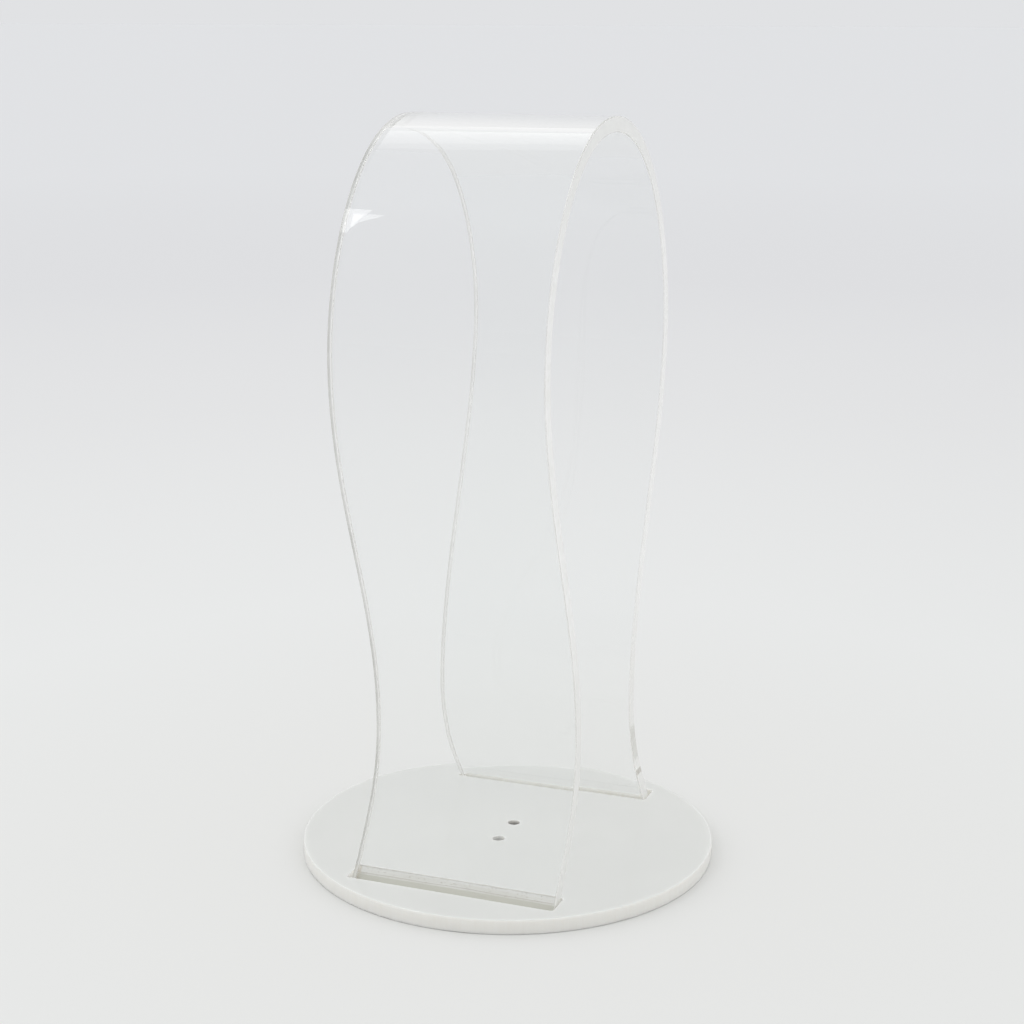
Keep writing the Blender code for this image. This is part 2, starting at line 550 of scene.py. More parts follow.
@dataclass(frozen=True)
class ScorchedCorner:
    """The narrow round that the laser melts along both corners of a cut edge, darker on the left as painted
    shade and painted reflection.
    """

    pale: Colour = (0.95, 0.95, 0.93)
    dark: Colour = (0.86, 0.855, 0.82)
    painted_left_shade: Colour = (0.83, 0.82, 0.78)
    patches: Grain = Grain(90.0, 4.0, 0.6, (1.0, 0.3, 0.3))
    patchy: Span = (0.3, 0.65)
    clearness: float = 0.8
    roughness: float = 0.25

    def material(self) -> bpy.types.Material:
        """Builds the material.

        Returns:
            The material.
        """
        material, graph = new_shader("clear_acrylic_scorched_corner")
        patches = graph.noise(graph.flat_place(), self.patches)
        on_left = graph.on_left(graph.axes(graph.object_place())[0])
        right = graph.mixed(graph.ramp(patches, *self.patchy), self.pale, self.dark)
        sockets = {
            # painted shade and painted reflection: the left corners are darker
            "Base Color": graph.mixed(on_left, right, self.painted_left_shade),
            "Roughness": self.roughness,
            "IOR": ACRYLIC_IOR,
            "Transmission Weight": self.clearness,
        }
        finish_shader(graph, sockets)
        return material


def opal_body() -> dict[str, Any]:
    """The Principled BSDF's inputs that let light spread inside the opal sheet."""
    return {
        "IOR": ACRYLIC_IOR,
        "Subsurface Weight": 1.0,
        "Subsurface Radius": (LIGHT_REACH, LIGHT_REACH, LIGHT_REACH),
        "Subsurface Scale": 1.0,
    }


@dataclass(frozen=True)
class OpalFace:
    """Opal white cast acrylic: glossy, with the faintest clouds, waves and hairline scratches."""

    body: Colour = (0.729, 0.739, 0.717)
    cloud: Colour = (0.715, 0.725, 0.704)
    clouds: Grain = Grain(30.0, 4.0, 0.55)
    cloudy: Span = (0.3, 0.7)
    hairs: Grain = Grain(260.0, 3.0, 0.6, (1.0, 12.0, 1.0))
    scratched: Span = (0.55, 0.8)
    least_roughness: float = 0.09
    most_roughness: float = 0.16
    waves: Grain = Grain(25.0, 1.0)
    wave_strength: float = 0.2
    wave_height: float = 0.00005

    def material(self) -> bpy.types.Material:
        """Builds the material.

        Returns:
            The material.
        """
        material, graph = new_shader("opal_acrylic_face")
        place = graph.object_place()
        clouds = graph.noise(place, self.clouds)
        hairs = graph.noise(place, self.hairs)
        waves = graph.noise(place, self.waves)
        sockets = {
            "Base Color": graph.mixed(graph.ramp(clouds, *self.cloudy), self.body, self.cloud),
            "Roughness": graph.ramp(hairs, *self.scratched, self.least_roughness, self.most_roughness),
            "Normal": graph.bump(waves, self.wave_strength, self.wave_height),
            **opal_body(),
        }
        finish_shader(graph, sockets)
        return material


@dataclass(frozen=True)
class CutWall:
    """A laser-cut wall of the opal sheet: cream, with streaks through the thickness and tanned corners.

    A hole's wall is burnt besides, and darker away from the upper face as painted shade down the hole.
    """

    name: str
    pale: Colour = (0.84, 0.835, 0.805)
    streak: Colour = (0.78, 0.765, 0.715)
    streaks: Grain = Grain(700.0, 4.0, 0.65, (1.0, 1.0, 0.08))
    streaky: Span = (0.35, 0.75)
    streak_strength: float = 0.4
    streak_height: float = 0.00005
    roughness: float = 0.5
    sheet: float = SHEET_THICKNESS

    tan: Colour = (0.50, 0.46, 0.39)
    tan_share: float = 0.3
    tan_depth: float = 0.0005
    tan_patches: Grain = Grain(60.0)
    tan_patchy: Span = (0.35, 0.6)
    tan_least: float = 0.4  # the share of the tan between its patches

    burn_and_shade: float = 0.0  # how much of the whole wall is burnt and painted with shade, from 0 to 1
    burn_and_shade_from: float = 0.0012  # how far below the upper face the burn and the painted shade are full
    burn_and_shade_at_face: float = 0.2  # its share at the upper face
    burnt_streaks: Span = (0.2, 0.6)
    burnt_least: float = 0.8  # the share of the burn between the streaks

    def material(self) -> bpy.types.Material:
        """Builds the material.

        Returns:
            The material.
        """
        material, graph = new_shader(self.name)
        place = graph.object_place()
        height = graph.axes(place)[2]
        streaks = graph.noise(place, self.streaks)
        wall = graph.mixed(graph.ramp(streaks, *self.streaky), self.pale, self.streak)

        from_face = height.least(self.sheet - height)
        corner = graph.ramp(from_face, 0.0, self.tan_depth, self.tan_share, 0.0)
        corner *= graph.ramp(graph.noise(place, self.tan_patches), *self.tan_patchy, self.tan_least, 1.0)
        # burn, with painted shade that deepens away from the upper face down the hole
        burn_and_shade_mask = self.burn_and_shade * graph.ramp(streaks, *self.burnt_streaks, self.burnt_least, 1.0)
        burn_and_shade_mask *= graph.ramp(height, self.sheet - self.burn_and_shade_from, self.sheet, 1.0, self.burn_and_shade_at_face)
        sockets = {
            "Base Color": graph.mixed(corner.most(burn_and_shade_mask), wall, self.tan),
            "Roughness": self.roughness,
            "Normal": graph.bump(streaks, self.streak_strength, self.streak_height),
            **opal_body(),
        }
        finish_shader(graph, sockets)
        return material


@dataclass(frozen=True)
class DriedCement:
    """Hardened solvent cement: cloudy cream with small bubbles and specks, turning olive towards its
    underside as painted shade low in the slot.

    A thin dark seam runs between the two colours, and soot stains the left ends.
    """

    ior: float = 1.48
    clear: Colour = (0.77, 0.775, 0.755)
    cloudy: Colour = (0.69, 0.69, 0.65)
    clouds: Grain = Grain(300.0, 4.0, 0.6, (0.2, 2.0, 2.0))
    layers: Grain = Grain(1300.0, stretch=(0.03, 0.2, 1.0))
    layer_share: float = 0.6  # how much of the cream's pattern is layers, and the rest clouds
    cream_span: Span = (0.35, 0.65)

    low_shade: Colour = (0.575, 0.575, 0.51)
    low_shade_heights: Span = (0.0023, 0.0027)  # painted shade below the first and cream above the second
    wander: float = 0.0008  # how far the clouds move the line between them

    seam: Colour = (0.36, 0.33, 0.26)
    seam_share: float = 0.45
    seam_half_width: float = 0.0002

    speck: Colour = (0.42, 0.40, 0.34)
    specks: Grain = Grain(1500.0)
    speckled: Span = (0.62, 0.7)
    speck_share: float = 0.6

    soot: Colour = (0.60, 0.55, 0.46)
    soot_from: float = 0.0335  # how far to the left of the middle it starts
    soot_blend: float = 0.001
    soot_patches: Grain = Grain(800.0)
    sooty: Span = (0.4, 0.6)
    least_soot: float = 0.2
    most_soot: float = 0.9

    bubbles_per_metre: float = 900.0
    bubble_edge: Span = (0.12, 0.3)
    bubble_share: float = 0.3
    lump_strength: float = 0.5
    lump_height: float = 0.0001
    rough_clouds: Span = (0.3, 0.7)
    least_roughness: float = 0.25
    most_roughness: float = 0.45

    def material(self) -> bpy.types.Material:
        """Builds the material.

        Returns:
            The material.
        """
        material, graph = new_shader("dried_cement")
        place = graph.object_place()
        across, _, true_height = graph.axes(place)
        clouds = graph.noise(place, self.clouds)
        layers = graph.noise(place, self.layers)
        height = true_height + self.wander * (clouds - 0.5)

        pattern = (1.0 - self.layer_share) * clouds + self.layer_share * layers
        cream = graph.mixed(graph.ramp(pattern, *self.cream_span), self.clear, self.cloudy)
        specks = graph.ramp(graph.noise(place, self.specks), *self.speckled, 0.0, self.speck_share)
        cream = graph.mixed(specks, cream, self.speck)
        # painted shade: olive towards the bottom of the slot
        colour = graph.mixed(graph.ramp(height, *self.low_shade_heights, 1.0, 0.0), cream, self.low_shade)
        from_seam = abs(height - (self.low_shade_heights[1] + self.seam_half_width))
        seam = graph.ramp(from_seam, 0.0, self.seam_half_width, self.seam_share, 0.0)
        colour = graph.mixed(seam, colour, self.seam)
        stain = graph.ramp(across, -self.soot_from - self.soot_blend, -self.soot_from, 1.0, 0.0)
        soot = graph.noise(place, self.soot_patches)
        stain *= graph.ramp(soot, *self.sooty, self.least_soot, self.most_soot)

        inputs = {"Vector": place, "Scale": self.bubbles_per_metre}
        bubbles = graph.term("ShaderNodeTexVoronoi", {"feature": "F1"}, inputs, "Distance")
        lumps = clouds + self.bubble_share * graph.ramp(bubbles, *self.bubble_edge)
        sockets = {
            "Base Color": graph.mixed(stain, colour, self.soot),
            "Roughness": graph.ramp(clouds, *self.rough_clouds, self.least_roughness, self.most_roughness),
            "IOR": self.ior,
            "Normal": graph.bump(lumps, self.lump_strength, self.lump_height),
        }
        finish_shader(graph, sockets)
        return material


# --------------------------------------------------------------------------------------------------
# Sub-assemblies


def add_object(name: str, data: bpy.types.ID) -> bpy.types.Object:
    """Makes an object of some data and puts it in the scene.

    Args:
        name: the object's name.
        data: its mesh, curve, lamp or camera.

    Returns:
        The object.
    """
    made = bpy.data.objects.new(name, data)
    bpy.context.scene.collection.objects.link(made)
    return made


def as_mesh(curve: bpy.types.Object, name: str) -> bpy.types.Mesh:
    """Turns a curve object and its modifiers into a plain mesh, and removes the object.

    Args:
        curve: the curve object.
        name: the mesh's name.

    Returns:
        The mesh.
    """
    evaluated = curve.evaluated_get(bpy.context.evaluated_depsgraph_get())
    mesh = bpy.data.meshes.new_from_object(evaluated)
    bpy.data.objects.remove(curve)
    mesh.name = name
    return mesh


def face_out(mesh: bpy.types.Mesh) -> None:
    """Turns a closed mesh's faces outwards, after its doubled points are merged.

    Args:
        mesh: the mesh.
    """
    shape = bmesh.new()
    shape.from_mesh(mesh)
    bmesh.ops.remove_doubles(shape, verts=shape.verts, dist=1e-7)
    bmesh.ops.recalc_face_normals(shape, faces=shape.faces)
    shape.to_mesh(mesh)
    shape.free()


def settle(piece: bpy.types.Object, slot: Slot, *replaced: str) -> None:
    """Hands a finished piece to the frame.

    Args:
        piece: an object at the origin, with its place in its mesh.
        slot: the record's material slot that it belongs to. It is not used.
        replaced: the CAD nodes that it stands for.
    """
    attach(piece, "root")
    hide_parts(*replaced)
    log.info("%s: %d faces", piece.name, len(piece.data.polygons))


@dataclass
class ArchLine:
    """The line of the strip's middle layer in the YZ plane.

    Each bend's fullness is the length of its handle as a share of the run beside it.
    """

    thickness: float = SHEET_THICKNESS
    waist_gap: float = 0.052
    waist_height: float = WAIST_HEIGHT
    bulge_height: float = 0.176
    foot_span: float = 0.102
    foot_angle: float = math.radians(55)
    foot_lift: float = 0.0005
    crown_fullness: float = 0.645
    shoulder_fullness: float = 0.446
    flank_fullness: float = 0.35
    calf_fullness: float = 0.4
    ankle_fullness: float = 0.42
    steps_a_bend: int = 48

    def knots(self) -> list[tuple[Vector, Vector, Vector]]:
        """Works out the whole arch.

        Returns:
            (point, handle before, handle after) in (y, z), from the front foot over the crown to the rear.
        """
        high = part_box("arch_strip")[1]
        half = self.thickness / 2
        bulge = Vector((high.y - half, self.bulge_height))
        waist = Vector((self.waist_gap / 2 + half, self.waist_height))
        crown = Vector((0.0, high.z - half))
        end_z = self.foot_lift + half * math.cos(self.foot_angle)
        end = Vector((self.foot_span / 2 - end_z / math.tan(self.foot_angle), end_z))

        up = Vector((0.0, 1.0))
        down = Vector((math.cos(self.foot_angle), -math.sin(self.foot_angle)))
        across = Vector((self.crown_fullness * bulge.x, 0.0))
        shoulder = self.shoulder_fullness * (crown.y - self.bulge_height) * up
        flank = self.flank_fullness * (self.bulge_height - self.waist_height) * up
        calf = self.calf_fullness * waist.y * up
        ankle = self.ankle_fullness * waist.y * down
        rear = [
            (crown, crown - across, crown + across),
            (bulge, bulge + shoulder, bulge - flank),
            (waist, waist + flank, waist - calf),
            (end, end - ankle, end),
        ]
        flip = Matrix(((-1.0, 0.0), (0.0, 1.0)))
        front = [(flip @ knot, flip @ after, flip @ before) for knot, before, after in rear[:0:-1]]
        return front + rear

    def as_curve(self, name: str) -> bpy.types.Object:
        """Makes the line a Bezier curve object in the YZ plane.

        Args:
            name: the object's name.

        Returns:
            The curve object.
        """
        data = bpy.data.curves.new(name, "CURVE")
        data.dimensions = "3D"
        data.resolution_u = self.steps_a_bend
        knots = self.knots()
        spline = data.splines.new("BEZIER")
        spline.bezier_points.add(len(knots) - 1)
        for place, (knot, before, after) in zip(spline.bezier_points, knots):
            place.handle_left_type = place.handle_right_type = "FREE"
            place.co = (0.0, knot.x, knot.y)
            place.handle_left = (0.0, before.x, before.y)
            place.handle_right = (0.0, after.x, after.y)
        return add_object(name, data)


@dataclass
class ArchStrip:
    """The bent strip of clear sheet, swept along its line by Geometry Nodes."""

    line: ArchLine = field(default_factory=ArchLine)
    edge_radius: float = 0.0003
    edge_steps: int = 3
    ring_spacing: float = 0.0012
    sharp_angle: float = math.radians(12)
    corner_facing: float = 0.2  # the least X of a normal on the rounds beside the cut edges
    cut_facing: float = 0.98  # and on the cut edges
    face: ClearFace = field(default_factory=ClearFace)
    cut: CutEdge = field(default_factory=CutEdge)
    corner: ScorchedCorner = field(default_factory=ScorchedCorner)

    def build(self) -> bpy.types.Object:
        """Builds the strip and dresses it.

        Returns:
            The strip.
        """
        low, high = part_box("arch_strip")
        guide = self.line.as_curve("arch_guide")
        tree = self._tree()
        modifier = guide.modifiers.new("bent_sheet", "NODES")
        modifier.node_group = tree
        values = {
            "Width": high.x - low.x,
            "Thickness": self.line.thickness,
            "Edge radius": self.edge_radius,
            "Ring spacing": self.ring_spacing,
            "Face": self.face.material(),
            "Cut edge": self.cut.material(),
            "Corner": self.corner.material(),
        }
        for item in tree.interface.items_tree:
            if item.name in values and item.in_out == "INPUT":
                modifier[item.identifier] = values[item.name]
        mesh = as_mesh(guide, "arch_strip_clear")
        face_out(mesh)
        mesh.shade_smooth()
        mesh.set_sharp_from_angle(angle=self.sharp_angle)
        strip = add_object("arch_strip_clear", mesh)
        # Clear sheet darkens nothing behind it in light from all around: the diffuse light passes it by.
        strip.visible_diffuse = strip.visible_shadow = False
        settle(strip, Slot.CLEAR, "arch_strip")
        return strip

    def _tree(self) -> bpy.types.NodeTree:
        """Builds the tree that sweeps a rounded rectangle along a curve.

        Returns:
            The Geometry Nodes tree, with its sizes and materials as inputs.
        """
        tree = bpy.data.node_groups.new("bent_sheet", "GeometryNodeTree")
        tree.interface.new_socket("Line", in_out="INPUT", socket_type="NodeSocketGeometry")
        for name in ("Width", "Thickness", "Edge radius", "Ring spacing"):
            tree.interface.new_socket(name, in_out="INPUT", socket_type="NodeSocketFloat")
        for name in ("Face", "Cut edge", "Corner"):
            tree.interface.new_socket(name, in_out="INPUT", socket_type="NodeSocketMaterial")
        tree.interface.new_socket("Sheet", in_out="OUTPUT", socket_type="NodeSocketGeometry")
        graph = Graph(tree)
        given = {socket.name: socket for socket in graph.node("NodeGroupInput").outputs}

        rings = graph.term(
            "GeometryNodeResampleCurve",
            {"mode": "LENGTH"},
            {"Curve": given["Line"], "Length": given["Ring spacing"]},
        )
        lengths = graph.term("GeometryNodeSplineParameter", {}, {}, "Length")
        rail = self._stored(graph, rings, "FLOAT", "along", lengths)
        outline = graph.term(
            "GeometryNodeCurvePrimitiveQuadrilateral",
            {"mode": "RECTANGLE"},
            {"Width": given["Width"], "Height": given["Thickness"]},
        )
        rounding = {"Count": self.edge_steps, "Radius": given["Edge radius"], "Limit Radius": True}
        rounded = graph.term("GeometryNodeFilletCurve", {"mode": "POLY"}, {"Curve": outline, **rounding})
        positions = graph.term("GeometryNodeInputPosition", {}, {})
        section = self._stored(graph, rounded, "FLOAT_VECTOR", "section", positions)
        sweep = {"Curve": rail, "Profile Curve": section, "Fill Caps": True}
        swept = graph.term("GeometryNodeCurveToMesh", {}, sweep)

        along = self._recalled(graph, "FLOAT", "along")
        across, through, _ = graph.axes(self._recalled(graph, "FLOAT_VECTOR", "section"))
        flat = graph.term("ShaderNodeCombineXYZ", {}, {"X": along, "Y": across, "Z": through})
        placed = self._stored(graph, swept, "FLOAT_VECTOR", FLAT_PLACE, flat)

        real = graph.term("GeometryNodeRealizeInstances", {}, {"Geometry": placed})
        dressed = graph.term("GeometryNodeSetMaterial", {}, {"Geometry": real, "Material": given["Face"]})
        facing_x = abs(graph.axes(graph.term("GeometryNodeInputNormal", {}, {}, "Normal"))[0])
        for name, least in (("Corner", self.corner_facing), ("Cut edge", self.cut_facing)):
            chosen = facing_x.maths("GREATER_THAN", least)
            inputs = {"Geometry": dressed, "Selection": chosen, "Material": given[name]}
            dressed = graph.term("GeometryNodeSetMaterial", {}, inputs)
        graph.node("NodeGroupOutput", {}, {"Sheet": dressed})
        return tree

    @staticmethod
    def _stored(graph: Graph, geometry: Term, kind: str, name: str, value: Term) -> Term:
        """Stores a value on each point under a name.

        Args:
            graph: the tree.
            geometry: the points.
            kind: the value's type.
            name: the attribute's name.
            value: the value.

        Returns:
            The geometry with the attribute.
        """
        settings = {"data_type": kind, "domain": "POINT"}
        inputs = {"Geometry": geometry, "Name": name, "Value": value}
        return graph.term("GeometryNodeStoreNamedAttribute", settings, inputs)

    @staticmethod
    def _recalled(graph: Graph, kind: str, name: str) -> Term:
        """Reads a value that was stored on each point."""
        settings = {"data_type": kind}
        return graph.term("GeometryNodeInputNamedAttribute", settings, {"Name": name}, "Attribute")


@dataclass
class BaseDisc:
    """The opal disc, with its slots and holes measured on the CAD node."""

    edge_radius: float = 0.0003
    edge_steps: int = 2
    curve_steps: int = 64
    slot_corner_radius: float = 0.0012
    slot_corner_steps: int = 12
    sharp_angle: float = math.radians(10)
    face_tilt: float = 0.3  # the least Z of a normal on the sheet's faces and the rounds beside them
    rim_margin: float = 0.002  # points further in than this belong to a slot or a hole
    face: OpalFace = field(default_factory=OpalFace)
    rim: CutWall = CutWall("opal_acrylic_rim", (0.815, 0.81, 0.78), (0.80, 0.79, 0.755))
    slot_wall: CutWall = CutWall("opal_acrylic_slot_wall")
    # The holes' walls are burnt, with painted shade that deepens down the hole.
    rear_hole: CutWall = CutWall(
        "opal_acrylic_rear_hole",
        tan=(0.37, 0.355, 0.335),
        burn_and_shade=0.95,
        burn_and_shade_from=0.002,
        burn_and_shade_at_face=0.1,
    )
    front_hole: CutWall = CutWall(
        "opal_acrylic_front_hole",
        tan=(0.70, 0.70, 0.685),
        burn_and_shade=0.85,
        burn_and_shade_at_face=0.5,
    )

    def __post_init__(self) -> None:
        """Reads the disc's sizes from the frame."""
        low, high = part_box("base_disc")
        self.radius = high.x
        self.thickness = high.z - low.z
        points = [vertex.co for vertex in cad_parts["base_disc"].data.vertices]
        inside = [p for p in points if math.hypot(p.x, p.y) < self.radius - self.rim_margin]
        slot = [p for p in inside if p.y > self.radius / 2]
        hole = [p for p in inside if 0 < p.y < self.radius / 2]
        self.slot_half_length = max(p.x for p in slot)
        self.slot_inner = min(p.y for p in slot)
        self.slot_outer = max(p.y for p in slot)
        self.hole_radius = max(p.x for p in hole)
        self.hole_y = (min(p.y for p in hole) + max(p.y for p in hole)) / 2

    def build(self) -> bpy.types.Object:
        """Builds the disc and dresses it.

        Returns:
            The disc.
        """
        data = bpy.data.curves.new("disc_outline", "CURVE")
        data.dimensions = "2D"
        data.fill_mode = "BOTH"
        data.resolution_u = self.curve_steps
        data.bevel_depth = self.edge_radius
        data.bevel_resolution = self.edge_steps
        data.offset = -self.edge_radius
        data.extrude = self.thickness / 2 - self.edge_radius
        self._add_ring(data, Vector((0.0, 0.0)), self.radius)
        for side in Side:
            self._add_ring(data, Vector((0.0, side.value * self.hole_y)), self.hole_radius)
            self._add_slot(data, side)
        mesh = as_mesh(add_object("disc_outline", data), "base_disc_opal")
        mesh.transform(Matrix.Translation((0.0, 0.0, self.thickness / 2)))
        face_out(mesh)
        mesh.materials.clear()
        for finish in (self.face, self.rim, self.slot_wall, self.rear_hole, self.front_hole):
            mesh.materials.append(finish.material())
        for polygon in mesh.polygons:
            polygon.material_index = self._finish_number(polygon)
        mesh.shade_smooth()
        mesh.set_sharp_from_angle(angle=self.sharp_angle)
        disc = add_object("base_disc_opal", mesh)
        settle(disc, Slot.OPAL, "base_disc")
        return disc

    def _finish_number(self, polygon: bpy.types.MeshPolygon) -> int:
        """Tells which finish a polygon takes.

        Args:
            polygon: one of the disc's polygons.

        Returns:
            0 for the sheet's faces, 1 the rim, 2 a slot's wall, 3 the rear hole's and 4 the front hole's.
        """
        from_axis = math.hypot(polygon.center.x, polygon.center.y)
        if abs(polygon.normal.z) > self.face_tilt:
            return 0
        if from_axis > self.radius - self.rim_margin:
            return 1
        if from_axis > self.radius / 3:
            return 2
        return 3 if polygon.center.y > 0 else 4

    def _add_ring(self, data: bpy.types.Curve, centre: Vector, radius: float) -> None:
        """Adds a circle of four Bezier points.

        Args:
            data: the outline's curve.
            centre: the circle's middle, in (x, y).
            radius: its radius.
        """
        handle = radius * 4 / 3 * math.tan(math.pi / 8)
        spline = data.splines.new("BEZIER")
        spline.bezier_points.add(3)
        spline.use_cyclic_u = True
        for quarter, place in enumerate(spline.bezier_points):
            turn = Matrix.Rotation(quarter * math.pi / 2, 2)
            place.handle_left_type = place.handle_right_type = "FREE"
            place.co = (*(centre + turn @ Vector((radius, 0.0))), 0.0)
            place.handle_left = (*(centre + turn @ Vector((radius, -handle))), 0.0)
            place.handle_right = (*(centre + turn @ Vector((radius, handle))), 0.0)

    def _add_slot(self, data: bpy.types.Curve, side: Side) -> None:
        """Adds one slot's outline, a rectangle with small round corners.

        Args:
            data: the outline's curve.
            side: which foot the slot is for.
        """
        middle = side.value * (self.slot_inner + self.slot_outer) / 2
        half_width = (self.slot_outer - self.slot_inner) / 2
        outline = []
        for quarter in range(4):
            start = quarter * math.pi / 2
            sign_x = 1 if quarter in (0, 3) else -1
            sign_y = 1 if quarter in (0, 1) else -1
            centre = Vector((
                sign_x * (self.slot_half_length - self.slot_corner_radius),
                middle + sign_y * (half_width - self.slot_corner_radius),
            ))
            for step in range(self.slot_corner_steps + 1):
                angle = start + step * math.pi / (2 * self.slot_corner_steps)
                spoke = Vector((math.cos(angle), math.sin(angle)))
                outline.append(centre + self.slot_corner_radius * spoke)
        spline = data.splines.new("POLY")
        spline.points.add(len(outline) - 1)
        spline.use_cyclic_u = True
        for place, point in zip(spline.points, outline):
            place.co = (point.x, point.y, 0.0, 1.0)


@dataclass
class CementBead:
    """One bead of cement that has run down between a foot and its slot's inner wall.

    It is a lumpy wedge with a hollow underside, tapering at both ends.
    """

    side: Side
    material: bpy.types.Material
    rings: int = 160
    points_a_side: int = 9
    run_out: float = 0.0015  # how far a smear carries each end past the solid's, inside the slot
    end_length: float = 0.0012
    least_end: float = 0.8  # the size of the last ring, as a share of the full one
    hollow: float = 0.0007  # how far the underside curves up
    lump: float = 0.06  # how much of its size a ring loses at most to a lump beside it
    lumps_along: float = 260.0  # per metre
    lumps_around: float = 500.0
    seed: float = 3.7
    sharp_angle: float = math.radians(40)

    def build(self) -> bpy.types.Object:
        """Builds the bead and dresses it.

        Returns:
            The bead.
        """
        node = f"cement_bead_{self.side.name.lower()}"
        low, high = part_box(node)
        start, end = low.x - self.run_out, high.x + self.run_out
        shape = bmesh.new()
        loops = []
        for number in range(self.rings):
            x = start + (end - start) * number / (self.rings - 1)
            from_end = min(x - start, end - x, self.end_length) / self.end_length
            size = self.least_end + (1 - self.least_end) * math.sqrt(1 - (1 - from_end) ** 2)
            loops.append([shape.verts.new(place) for place in self._ring(x, size, low, high)])
        for loop, following in zip(loops, loops[1:]):
            for k in range(len(loop)):
                shape.faces.new((loop[k - 1], loop[k], following[k], following[k - 1]))
        shape.faces.new(loops[0])
        shape.faces.new(loops[-1])
        mesh = bpy.data.meshes.new(f"{node}_cured")
        shape.to_mesh(mesh)
        shape.free()
        face_out(mesh)
        mesh.materials.append(self.material)
        mesh.shade_smooth()
        mesh.set_sharp_from_angle(angle=self.sharp_angle)
        bead = add_object(mesh.name, mesh)
        settle(bead, Slot.CEMENT, node)
        return bead

    def _ring(self, x: float, size: float, low: Vector, high: Vector) -> list[Vector]:
        """Works out one cross-section.

        Args:
            x: where it is along the bead.
            size: its size, from 0 to 1.
            low: the lowest corner of the bead's box.
            high: the highest corner.

        Returns:
            Its points, up the slot's wall, down along the foot and back over the hollow underside.
        """
        inner = min(abs(low.y), abs(high.y))
        outer = max(abs(low.y), abs(high.y))
        corners = (Vector((inner, low.z)), Vector((inner, high.z)), Vector((outer, low.z)))
        middle = sum(corners, Vector((0.0, 0.0))) / 3
        sign = self.side.value
        points = []
        for number, corner in enumerate(corners):
            following = corners[(number + 1) % 3]
            for step in range(self.points_a_side):
                share = step / self.points_a_side
                point = corner.lerp(following, share)
                if number == 2:
                    point.y += self.hollow * math.sin(math.pi * share)
                lumps = noise.noise(Vector((
                    x * self.lumps_along,
                    point.x * self.lumps_around,
                    point.y * self.lumps_around + self.seed * sign,
                )))
                shrink = size * (1 - self.lump * (0.5 + 0.5 * lumps))
                point = middle.lerp(point, shrink)
                points.append(Vector((x, sign * point.x, point.y)))
        return points


# --------------------------------------------------------------------------------------------------
# Studio


def looking(place: Vector, back: Vector, roll: float) -> Matrix:
    """Works out the matrix of a lamp or camera.

    Args:
        place: where it stands.
        back: the direction from what it looks at towards it, one metre long.
        roll: how far it is turned about that direction, in radians.

    Returns:
        Its matrix in the world.
    """
    right = Vector((0.0, 0.0, 1.0)).cross(back).normalized()
    turn = Matrix((right, back.cross(right), back)).transposed().to_4x4()
    return Matrix.Translation(place) @ turn @ Matrix.Rotation(roll, 4, "Z")


@dataclass(frozen=True)
class Softbox:
    """One soft lamp, placed by where it is seen from the middle of the stand. Its angles are in degrees."""

    name: str
    azimuth: float
    elevation: float
    distance: float
    width: float
    height: float
    radiance: float
    roll: float = 0.0

    def build(self, aim: Vector) -> None:
        """Adds the lamp.

        Args:
            aim: the point that it faces.
        """
        azimuth, elevation = math.radians(self.azimuth), math.radians(self.elevation)
        away = Vector((
            math.sin(azimuth) * math.cos(elevation),
            -math.cos(azimuth) * math.cos(elevation),
            math.sin(elevation),
        ))
        data = bpy.data.lights.new(self.name, "AREA")
        data.shape = "RECTANGLE"
        data.size = self.width
        data.size_y = self.height
        data.energy = self.radiance * math.pi * self.width * self.height
        lamp = add_object(self.name, data)
        lamp.matrix_world = looking(aim + self.distance * away, away, math.radians(self.roll))
        lamp.visible_camera = False


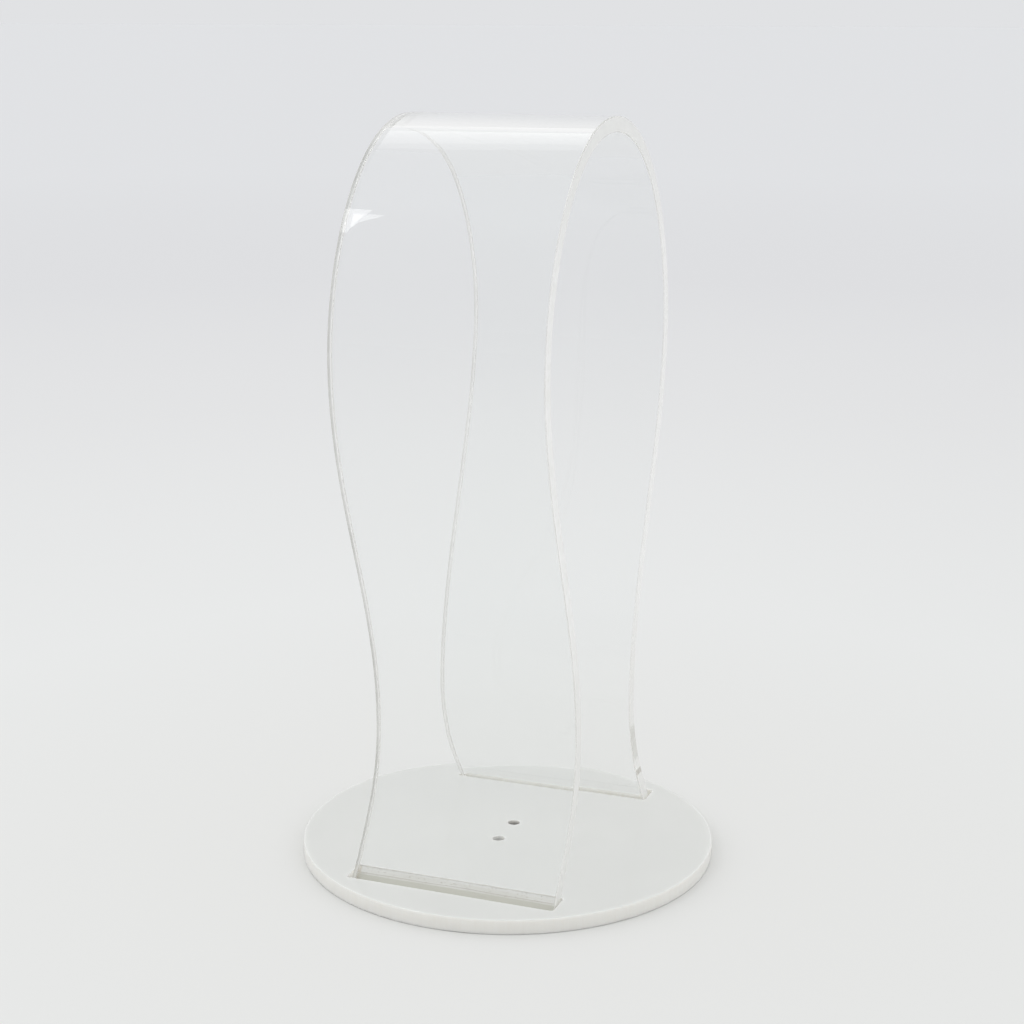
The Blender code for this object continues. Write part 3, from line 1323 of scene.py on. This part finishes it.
@dataclass
class Studio:
    """A pale floor, painted lighter and darker in rings as painted light and shade, under an even sky of
    soft light, with soft lamps and the camera.
    """

    # painted light and shade: the floor's colour is lighter and darker in rings around the stand
    painted_light_rings: tuple[tuple[float, Colour], ...] = (
        (0.1, (0.80, 0.805, 0.792)),
        (0.3, (0.82, 0.83, 0.825)),
        (0.8, (0.785, 0.79, 0.795)),
        (1.5, (0.766, 0.771, 0.786)),
        (3.0, (0.795, 0.805, 0.822)),
    )
    ring_clouds: Grain = Grain(3.0)
    ring_wander: float = 0.05  # how far the clouds move the rings
    floor_roughness: float = 0.9
    floor_ior: float = 1.2
    floor_radius: float = 60.0
    floor_sides: int = 64
    floor_drop: float = 0.00005  # how far it lies below the disc

    horizon: Colour = (0.753, 0.761, 0.776)
    ceiling: Colour = (0.885, 0.885, 0.885)
    sky_rise: Span = (0.1, 0.6)  # from the horizon's colour to the ceiling's, as the Z of a direction
    side_light_rise: Span = (0.03, 0.2)  # where the light from both sides grows, as the Z of a direction
    side_light_fall: Span = (0.5, 0.9)  # and where it goes
    side_light_from: Span = (0.3, 0.9)  # and where it grows sideways, as the X of a direction
    right_gain: float = 0.33
    left_gain: float = 0.45
    light_bounces: int = 48  # light that enters a cut edge is thrown to and fro inside the sheet

    lens_mm: float = 70.0
    sensor_mm: float = 36.0
    camera_reach: Span = (0.01, 200.0)
    camera_place: Vector = field(default_factory=lambda: Vector((0.2271, -0.5987, 0.2781)))
    camera_target: Vector = field(default_factory=lambda: Vector((0.00098, 0.00037, 0.11845)))
    camera_roll: float = math.radians(0.209)
    lamps: tuple[Softbox, ...] = (
        Softbox("key_softbox", -47.7, 47.1, 1.4, width=0.293, height=0.265, radiance=3.2, roll=32.5),
        Softbox("back_softbox", -150.0, 52.0, 1.4, width=0.8, height=0.45, radiance=0.35),
        Softbox("crown_glint", -163.2, 38.7, 1.447, width=0.12, height=0.445, radiance=0.5, roll=-9.4),
    )

    def build(self) -> None:
        """Adds the floor, the light and the camera."""
        self._floor()
        self._sky()
        low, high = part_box("arch_strip")
        for lamp in self.lamps:
            lamp.build(Vector((0.0, 0.0, (low.z + high.z) / 2)))
        self._camera()
        bpy.context.scene.view_settings.view_transform = "Standard"
        paths = bpy.context.scene.cycles
        paths.max_bounces = paths.transmission_bounces = paths.glossy_bounces = self.light_bounces

    def _floor(self) -> None:
        """Adds the floor, its colour painted in rings of light and shade around the stand."""
        mesh = bpy.data.meshes.new("floor")
        shape = bmesh.new()
        bmesh.ops.create_circle(shape, cap_ends=True, segments=self.floor_sides, radius=self.floor_radius)
        shape.to_mesh(mesh)
        shape.free()
        material, graph = new_shader("floor_paper_painted_light")
        place = graph.object_place()
        reach = graph.term("ShaderNodeVectorMath", {"operation": "LENGTH"}, {0: place}, "Value")
        outermost = self.painted_light_rings[-1][0]
        rings = [(radius / outermost, colour) for radius, colour in self.painted_light_rings]
        share = (reach + self.ring_wander * (graph.noise(place, self.ring_clouds) - 0.5)) / outermost
        paper_and_painted_light = graph.term("ShaderNodeValToRGB", {"stops": rings}, {"Fac": share}, "Color")
        sockets = {"Base Color": paper_and_painted_light, "Roughness": self.floor_roughness, "IOR": self.floor_ior}
        finish_shader(graph, sockets)
        mesh.materials.append(material)
        floor = add_object("floor", mesh)
        floor.location.z = -self.floor_drop

    def _sky(self) -> None:
        """Adds the even light: a pale horizon under a white ceiling, brighter low on both sides."""
        world = bpy.data.worlds.new("studio_light")
        bpy.context.scene.world = world
        world.use_nodes = True
        graph = Graph(world.node_tree)
        sideways, _, height = graph.axes(graph.term("ShaderNodeTexCoord", {}, {}, "Generated"))
        colour = graph.mixed(graph.ramp(height, *self.sky_rise), self.horizon, self.ceiling)
        low = graph.ramp(height, *self.side_light_rise)
        low *= graph.ramp(height, *self.side_light_fall, 1.0, 0.0)
        start, full = self.side_light_from
        right = self.right_gain * graph.ramp(sideways, start, full)
        left = self.left_gain * graph.ramp(sideways, -full, -start, 1.0, 0.0)
        strength = 1.0 + (right + left) * low
        background = graph.term("ShaderNodeBackground", {}, {"Color": colour, "Strength": strength})
        graph.node("ShaderNodeOutputWorld", {}, {"Surface": background})

    def _camera(self) -> None:
        """Adds the camera, a little above the stand and to its right, rolled by part of a degree."""
        data = bpy.data.cameras.new("camera")
        data.lens = self.lens_mm
        data.sensor_width = self.sensor_mm
        data.clip_start, data.clip_end = self.camera_reach
        camera = add_object("camera", data)
        back = (self.camera_place - self.camera_target).normalized()
        camera.matrix_world = looking(self.camera_place, back, self.camera_roll)
        bpy.context.scene.camera = camera


def main() -> None:
    """Builds the studio and the stand, piece by piece."""
    logging.basicConfig(level=logging.INFO, format="%(name)s: %(message)s")
    Studio().build()
    ArchStrip().build()
    BaseDisc().build()
    cement = DriedCement().material()
    for side in Side:
        CementBead(side, cement).build()


if __name__ == "__main__":
    main()
